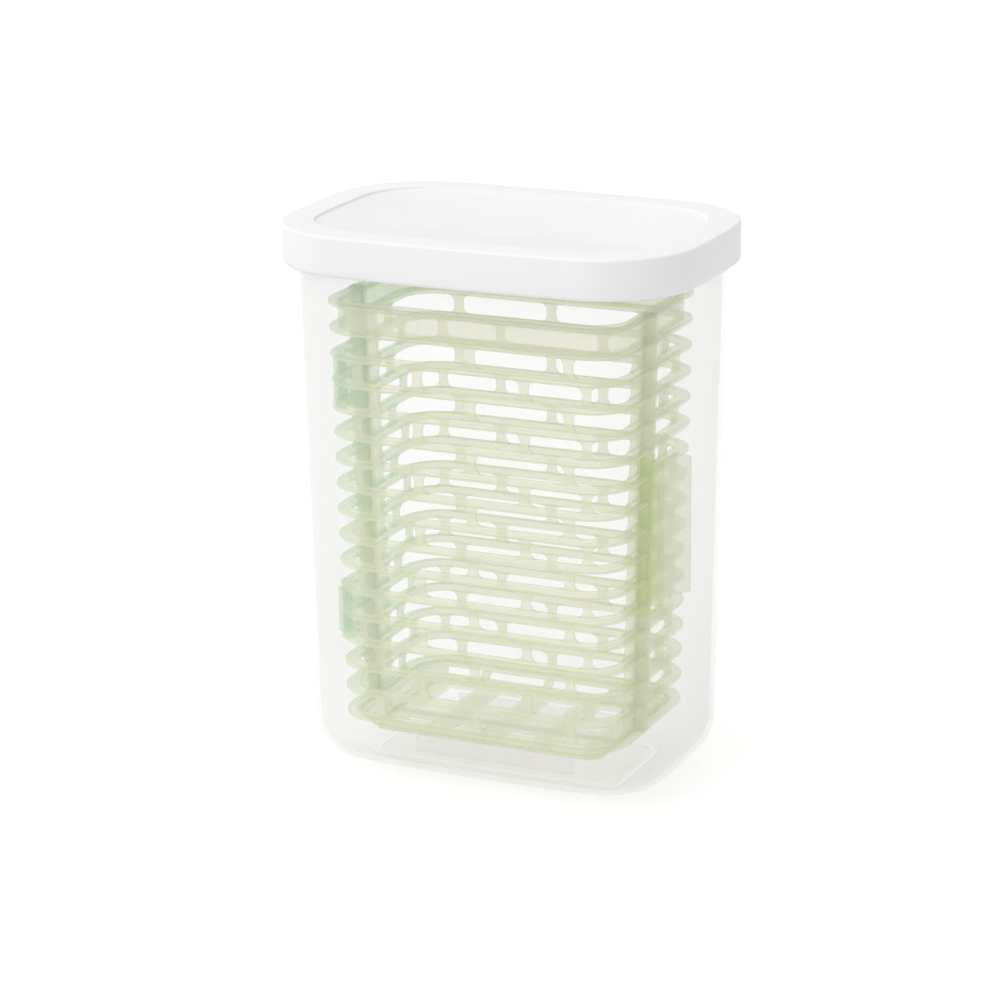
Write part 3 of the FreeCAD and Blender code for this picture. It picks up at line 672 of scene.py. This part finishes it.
def heel_piece(pieces, half, runs, low, high):
    """A stretch of the sloped heel between two heights."""
    height = np.array([low, low, high, high])
    sweep(pieces, half, runs, heel_inset(WALL_INSET, height), height)


def heel(pieces, half):
    """The sloped heel: a ring below, a ring above and uprights between the slots."""
    heel_piece(pieces, half, full_run(half, HEEL), BASKET_LOW, HEEL_SLOT[0])
    heel_piece(pieces, half, full_run(half, HEEL), HEEL_SLOT[1], HEEL - 0.2 * MM)
    for x in HEEL_PILLARS:
        heel_piece(pieces, half, np.array([x - PILLAR_HALF, x + PILLAR_HALF]), *HEEL_SLOT)
    full = full_run(half, HEEL)
    for sign in (-1, 1):
        start = math.copysign(run_of(HEEL_SLOT_END, HEEL), sign)
        corner = full[np.abs(full) > abs(start)]
        corner = corner[corner * sign > 0]
        runs = np.sort(np.append(corner, start))
        heel_piece(pieces, half, runs, *HEEL_SLOT)


def floor_outline(half, height):
    """Plan of a half's floor: round the corners and straight along the seam."""
    full = full_run(half, HEEL)
    inset = heel_inset(4.0 * MM, height)
    return wall_point(half, full, inset, np.full(len(full), height))[:, :2]


def basket_floor(half, material):
    """The half's floor with its drain slots, cut out of a flat slab."""
    low, high = BASKET_LOW, BASKET_LOW + FLOOR_THICK
    plan = floor_outline(half, BASKET_LOW + FLOOR_THICK / 2)
    slab = Pieces()
    grid = np.stack([np.column_stack([plan, np.full(len(plan), z)]) for z in (low, high)])
    slab.tube(grid, flip=half == DOOR)
    floor = mesh_object("floor_slab", np.concatenate(slab.points), slab.faces, material)
    start, stop = [SPLIT + reach for reach in (DRAINS_DOOR if half == DOOR else DRAINS_BACK)]
    cutter = Pieces()
    for place in (-1.5, -0.5, 0.5, 1.5):
        left, right = place * BRICK - DRAIN_HALF, place * BRICK + DRAIN_HALF
        loop = np.array([(left, start), (right, start), (right, stop), (left, stop)])
        levels = (low - 1 * MM, high + 1 * MM)
        cutter.tube(np.stack([np.column_stack([loop, np.full(4, z)]) for z in levels]))
    tool = mesh_object("floor_drains", np.concatenate(cutter.points), cutter.faces, material)
    drill = floor.modifiers.new("drains", "BOOLEAN")
    drill.operation = "DIFFERENCE"
    drill.object = tool
    graph = bpy.context.evaluated_depsgraph_get()
    mesh = bpy.data.meshes.new_from_object(floor.evaluated_get(graph))
    points = np.empty(len(mesh.vertices) * 3)
    mesh.vertices.foreach_get("co", points)
    faces = [list(polygon.vertices) for polygon in mesh.polygons]
    for item in (floor, tool):
        bpy.data.objects.remove(item)
    return points.reshape(-1, 3), faces


def catch(pieces):
    """The upright catch on the back half that the latch snaps over."""
    back, thick, low, high = CATCH
    height = np.linspace(low, high, 5)
    across, _ = outline_size(height)
    root = across + FLANGE_CORNER - CATCH_ROOT
    front, rear = SPLIT + back, SPLIT + back + thick
    soft = 0.3 * MM
    tip, edge = np.full(5, CATCH_REACH), np.full(5, CATCH_REACH - soft)
    x = np.stack([root, edge, tip, tip, edge, root], -1)
    y = np.array([front, front, front + soft, rear - soft, rear, rear])
    grid = np.stack([x, np.broadcast_to(y, x.shape), np.broadcast_to(height[:, None], x.shape)], -1)
    pieces.tube(grid)


def basket_half(name, half, material):
    """One half of the lattice basket: rings, window rows, band, posts, heel and floor."""
    pieces = Pieces()
    for count in range(ROWS + 2):
        ring(pieces, half, HEEL + count * PITCH)
    for row in range(ROWS):
        window_row(pieces, half, row)
    rim_band(pieces, half)
    seam_posts(pieces, half)
    heel(pieces, half)
    if half == BACK:
        catch(pieces)
    pieces.add(*basket_floor(half, material))
    return mesh_object(name, np.concatenate(pieces.points), pieces.faces, material)


# Putting it together

bpy.context.scene.view_settings.view_transform = "Standard"
bpy.context.scene.cycles.transparent_max_bounces = 64
place_camera()
place_lights()
place_floor()

green = green_plastic()
milky = milky_plastic()
white = lid_plastic()

container = turned_shell("container_shell", MOUTH, container_profile(), milky, standing_ribs)
lid = turned_shell("lid_cap", LID, lid_profile()[::-1], white)
back_half = basket_half("basket_back_lattice", BACK, green)
door_half = basket_half("basket_door_lattice", DOOR, green)

for piece, node, body, slot in ((container, "container", "container", "milky_clear"),
                                (lid, "lid", "lid", "lid_white"),
                                (back_half, "basket_back", "basket", "basket_green"),
                                (door_half, "basket_door", "door", "basket_green")):
    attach(piece, body)
    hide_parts(node)

for name in ("upper_hinge_pin", "lower_hinge_pin", "upper_hinge_clip", "lower_hinge_clip", "latch"):
    for place in nodes[name].material_slots:
        place.material = green
